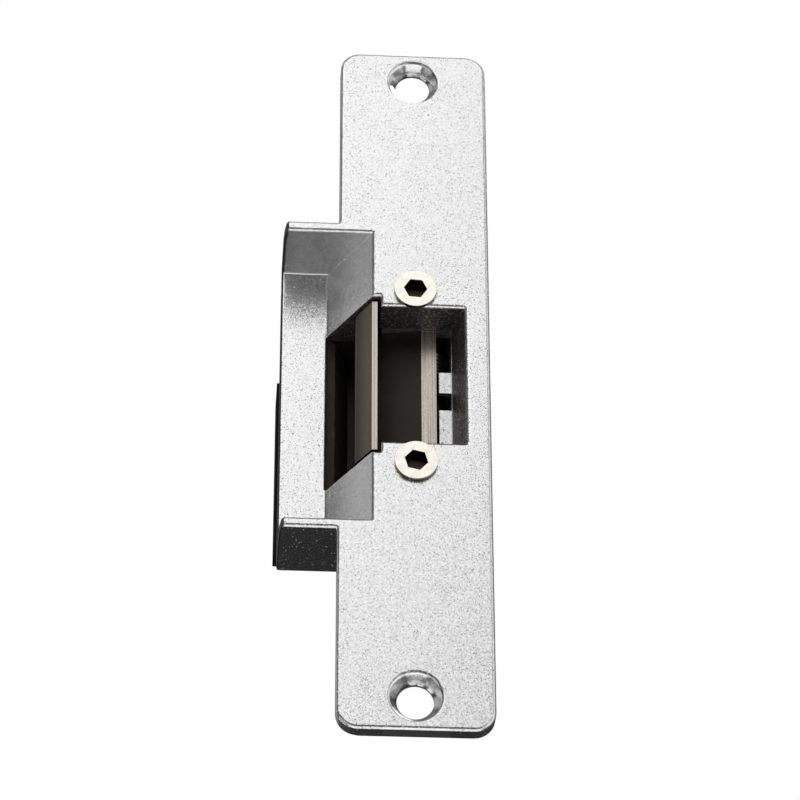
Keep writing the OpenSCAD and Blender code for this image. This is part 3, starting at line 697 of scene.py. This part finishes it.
def build_winding(material):
    """Enamelled wire wound in close turns between the bobbin's flanges."""
    low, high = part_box("coil_winding")
    centre = (low + high) / 2
    outer = (high.x - low.x) / 2
    inner = outer - 0.7 * MM
    wire, sides, arc = 0.32 * MM, 56, 4
    turns = int((high.z - low.z) / wire)
    pitch = (high.z - low.z) / turns
    profile = [(inner, low.z)]
    for turn in range(turns):
        for step in range(arc):
            t = math.pi * step / arc
            height = low.z + pitch * (turn + (1 - math.cos(t)) / 2)
            profile.append((outer - pitch / 2 * (1 - math.sin(t)), height))
    profile += [(outer - pitch / 2, high.z), (inner, high.z)]
    bm = bmesh.new()
    rings = []
    for radius, height in profile:
        rings.append([
            bm.verts.new((centre.x + radius * math.cos(2 * math.pi * k / sides),
                          centre.y + radius * math.sin(2 * math.pi * k / sides), height))
            for k in range(sides)
        ])
    for a, b in zip(rings, rings[1:] + rings[:1]):
        skin(bm, a, b)
    bmesh.ops.recalc_face_normals(bm, faces=bm.faces)
    mesh = bpy.data.meshes.new("winding")
    bm.to_mesh(mesh)
    bm.free()
    for face in mesh.polygons:
        face.use_smooth = True
    new_piece("winding", mesh, material, "frame", "coil_winding")


def build_lead_strands(material):
    """Stripped lead ends: a centre strand with six twisted round it."""
    low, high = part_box("lead_ends")
    radius = 0.42 * MM
    strand = radius / 3
    steps, twist, fray = 24, 2.4, 0.18
    top = high.z + 0.6 * MM
    heights = [top - (top - low.z) * i / steps for i in range(steps + 1)]
    meshes = []
    for x, y in ((low.x + radius, low.y + radius), (high.x - radius, high.y - radius)):
        foot = Vector((x, y, 0))
        meshes.append(tube("strand", [foot + Vector((0, 0, z)) for z in heights], strand * 0.98, 8))
        for k in range(6):
            path = []
            for i, z in enumerate(heights):
                angle = math.pi / 3 * k + twist * i / steps
                spread = 2 * strand * (1 + fray * (i / steps) ** 3 * math.sin(2.1 * k))
                path.append(foot + Vector((spread * math.cos(angle), spread * math.sin(angle), z)))
            meshes.append(tube("strand", path, strand * 0.98, 8))
    new_piece("lead_strands", join("lead_strands", meshes), material, "frame", "lead_ends")


# ---------------------------------------------------------------- stage

def area_light(name, direction, distance, size, radiance):
    """Softbox at a direction from the object; its brightness doesn't depend on its size."""
    width, height = size
    data = bpy.data.lights.new(name, "AREA")
    data.shape = "RECTANGLE"
    data.size, data.size_y = width, height
    data.energy = radiance * math.pi * width * height
    lamp = bpy.data.objects.new(name, data)
    away = Vector(direction).normalized()
    lamp.location = away * distance
    lamp.rotation_mode = "QUATERNION"
    lamp.rotation_quaternion = away.to_track_quat("Z", "Y")
    lamp.visible_camera = False
    bpy.context.scene.collection.objects.link(lamp)


def build_world():
    """White for the camera. For everything else a dim room: lighter above, and pale on both sides."""
    world = bpy.data.worlds.new("studio")
    bpy.context.scene.world = world
    world.use_nodes = True
    g = Graph(world.node_tree)
    where = g.add("ShaderNodeTexCoord").outputs["Generated"]
    up = g.axis(where, "Z")
    ahead = g.axis(where, "Y")
    above = g.remap(up, 0.4, 0.9, 0.02, 0.20, smooth=True)
    low_front = g.times(g.remap(up, 0.1, -0.4, 0.0, 0.06, smooth=True),
                        g.remap(ahead, 0.3, -0.5, smooth=True))
    to_left = g.dot(where, (-0.856, 0.517, 0.0))
    left = g.times(g.remap(to_left, 0.58, 0.80, 0.0, 0.42, smooth=True),
                   g.remap(up, 0.05, 0.35, smooth=True))
    to_right = g.dot(where, (0.95, -0.31, 0.0))
    right = g.remap(to_right, 0.60, 0.85, 0.0, 0.35, smooth=True)
    level = g.math("ADD", g.math("MAXIMUM", g.math("MAXIMUM", above, left), right), low_front)
    dim = g.add("ShaderNodeCombineXYZ", {0: level, 1: level, 2: level}).outputs[0]
    seen = g.mix(g.add("ShaderNodeLightPath").outputs["Is Camera Ray"], dim, (1.0, 1.0, 1.0))
    back = g.add("ShaderNodeBackground", {"Color": seen, "Strength": 1.0})
    g.add("ShaderNodeOutputWorld", {"Surface": back.outputs[0]})


def build_floor():
    """Floor just under the object, which lights and shades nothing."""
    reach, gap = 1.5, 0.2 * MM
    z = cad_box[0].z - gap
    corners = [(-reach, -reach, z), (reach, -reach, z), (reach, reach, z), (-reach, reach, z)]
    mesh = bpy.data.meshes.new("floor")
    mesh.from_pydata(corners, [], [(0, 1, 2, 3)])
    floor = new_object("floor", mesh, floor_paint())
    floor.visible_diffuse = False
    floor.visible_glossy = False
    floor.visible_shadow = False


def build_camera():
    data = bpy.data.cameras.new("camera")
    data.lens = CAMERA_LENS
    data.sensor_width = CAMERA_SENSOR
    data.clip_start, data.clip_end = 0.01, 20.0
    camera = bpy.data.objects.new("camera", data)
    ahead = (CAMERA_TARGET - CAMERA_EYE).normalized()
    right = ahead.cross(Vector((0, 0, 1))).normalized()
    up = right.cross(ahead)
    c, s = math.cos(CAMERA_ROLL), math.sin(CAMERA_ROLL)
    right, up = right * c + up * s, up * c - right * s
    turn = Matrix((right, up, -ahead)).transposed()
    camera.matrix_world = Matrix.Translation(CAMERA_EYE) @ turn.to_4x4()
    bpy.context.scene.collection.objects.link(camera)
    bpy.context.scene.camera = camera


# ---------------------------------------------------------------- put together

def dress_cad_parts():
    """Materials and edge radii in millimetres of the parts that keep their CAD mesh."""
    steel = sheet_steel("plated_steel", (0.50, 0.50, 0.50), (0.72, 0.72, 0.73), "Z")
    rear_plate = sheet_steel("rear_plate", (0.46, 0.46, 0.46), (0.66, 0.66, 0.67), "Z", 0.42, 0.75,
                             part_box("rear_cover")[0].y)
    zinc_screw = turned_metal("zinc_screw", (0.62, 0.64, 0.66), (0.80, 0.81, 0.82), 0.25)
    pin_steel = turned_metal("pin_steel", (0.52, 0.52, 0.53), (0.70, 0.70, 0.71), 0.22, "Z")
    phosphate = moulded("phosphate", (0.03, 0.028, 0.027), (0.06, 0.056, 0.052), 0.55)
    iron = turned_metal("bright_iron", (0.55, 0.55, 0.56), (0.70, 0.70, 0.71), 0.28, "Z")
    brass = turned_metal("brass", (0.66, 0.50, 0.24), (0.78, 0.62, 0.34), 0.28, "Z")
    lever_steel = sheet_steel("lever_steel", (0.44, 0.42, 0.37), (0.62, 0.60, 0.54), "X")
    nylon = moulded("bobbin_nylon", (0.78, 0.76, 0.70), (0.86, 0.84, 0.78), 0.45)
    tape = moulded("amber_tape", (0.62, 0.40, 0.05), (0.75, 0.52, 0.10), 0.28, 0.9, 0.02)
    rubber = moulded("grommet_rubber", (0.018, 0.018, 0.018), (0.03, 0.03, 0.03), 0.62)
    looks = {
        "face_screws": (face_screw_nickel(), 0.22),
        "housing": (housing_paint(), 0.30),
        "rear_cover": (rear_plate, 0.15),
        "rear_cover_screws": (zinc_screw, 0.10),
        "coil_cover": (black_moulding(), 0.20),
        "coil_cover_screw": (zinc_screw, 0.10),
        "keeper": (keeper_nickel(), 0.15),
        "keeper_pin": (pin_steel, 0.15),
        "keeper_pin_clip": (phosphate, 0.06),
        "keeper_washers": (brass, 0.06),
        "locking_lever": (lever_steel, 0.15),
        "lever_pin": (pin_steel, 0.12),
        "lever_clip": (phosphate, 0.06),
        "plunger": (iron, 0.20),
        "link_pin": (pin_steel, 0.10),
        "solenoid_frame": (steel, 0.15),
        "fixed_core": (iron, 0.12),
        "bobbin": (nylon, 0.10),
        "coil_tape": (tape, 0.04),
        "cable_grommet": (rubber, 0.20),
        "suppressor_diode": (diode_epoxy(), 0.08),
    }
    for name, (material, width) in looks.items():
        use(nodes[name], material)
        rounded(nodes[name], width)
    leads = {
        "lead_positive": moulded("red_pvc", (0.50, 0.012, 0.012), (0.62, 0.02, 0.018), 0.40),
        "lead_negative": moulded("black_pvc", (0.012, 0.012, 0.012), (0.022, 0.022, 0.022), 0.38),
    }
    for name, material in leads.items():
        use(nodes[name], material)
        softened(nodes[name])


dress_cad_parts()
rounded_casting(cast_paint())
spring_steel = wire_metal("spring_steel", (0.34, 0.34, 0.36), (0.52, 0.52, 0.54))
build_plunger_spring(spring_steel)
build_keeper_spring(spring_steel)
build_winding(wire_metal("copper_wire", (0.52, 0.17, 0.06), (0.68, 0.26, 0.10)))
build_lead_strands(wire_metal("tinned_wire", (0.62, 0.60, 0.56), (0.80, 0.78, 0.74)))

build_world()
for name, light in LIGHTS.items():
    area_light(name, *light)
build_floor()
build_camera()
bpy.context.scene.view_settings.view_transform = "Standard"
